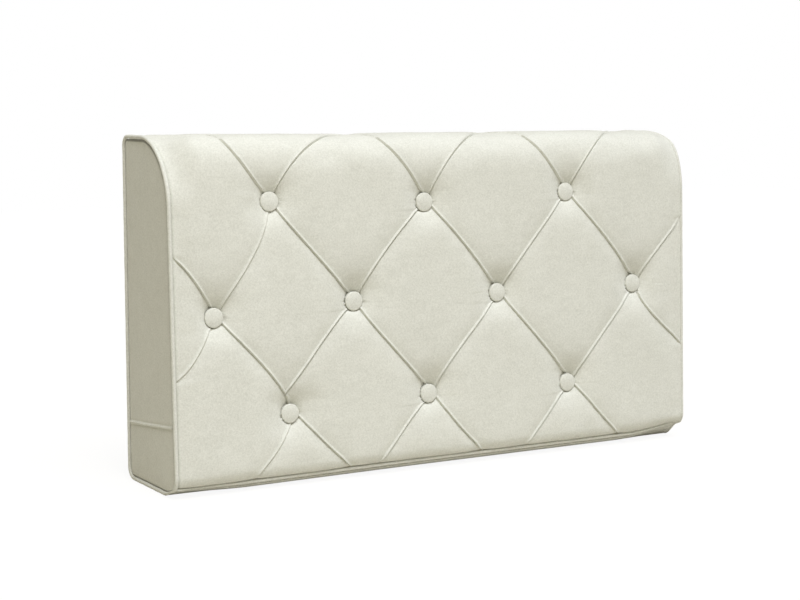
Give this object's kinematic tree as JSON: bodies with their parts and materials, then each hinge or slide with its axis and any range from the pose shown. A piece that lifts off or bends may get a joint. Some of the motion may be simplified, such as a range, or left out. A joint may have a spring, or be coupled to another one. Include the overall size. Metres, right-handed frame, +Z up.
{
  "type": "headboard",
  "caption": "Padded bed headboard with a rounded top, buttoned front, diagonal pleats and piped ends, in cream velvet.",
  "frame": {"origin": "middle of the base, on the surface that it stands on", "axes": "+X to the right seen from the front, +Y to the back (the wall side), +Z up"},
  "size_m": [0.915, 0.18, 0.508],
  "materials": {
    "cream_velvet": "short-pile velvet, off-white",
    "cream_piping": "the same velvet cut on the bias over a cord",
    "cream_button": "the same velvet stretched over a button",
    "white_wadding": "polyester wadding",
    "yellow_foam": "open-cell upholstery foam",
    "birch_plywood": "plain birch plywood",
    "pine": "planed softwood",
    "grey_dust_cloth": "spun-bonded dust cloth",
    "zinc_steel": "zinc-plated steel",
    "button_steel": "plain steel",
    "nylon_washer": "moulded nylon",
    "waxed_twine": "waxed nylon twine"
  },
  "bodies": {
    "root": {"front_cover": "cream_velvet", "left_end_upper_cover": "cream_velvet", "left_end_lower_cover": "cream_velvet", "right_end_upper_cover": "cream_velvet", "right_end_lower_cover": "cream_velvet", "bottom_cover": "cream_velvet", "back_dust_cloth": "grey_dust_cloth", "left_end_piping": "cream_piping", "right_end_piping": "cream_piping", "front_piping": "cream_piping", "button_top_1": "cream_button", "button_top_2": "cream_button", "button_top_3": "cream_button", "button_middle_1": "cream_button", "button_middle_2": "cream_button", "button_middle_3": "cream_button", "button_middle_4": "cream_button", "button_bottom_1": "cream_button", "button_bottom_2": "cream_button", "button_bottom_3": "cream_button", "wadding": "white_wadding", "left_end_wadding": "white_wadding", "right_end_wadding": "white_wadding", "foam_core": "yellow_foam", "front_skin": "birch_plywood", "left_end_panel": "birch_plywood", "right_end_panel": "birch_plywood", "inner_former_1": "birch_plywood", "inner_former_2": "birch_plywood", "inner_former_3": "birch_plywood", "base_board": "birch_plywood", "top_back_rail": "pine", "bottom_back_rail": "pine", "left_back_stile": "pine", "right_back_stile": "pine", "threaded_inserts": "zinc_steel", "frame_screws": "zinc_steel", "button_backs": "button_steel", "button_rings": "button_steel", "button_washers": "nylon_washer", "button_twines": "waxed_twine"}
  },
  "joints": []
}
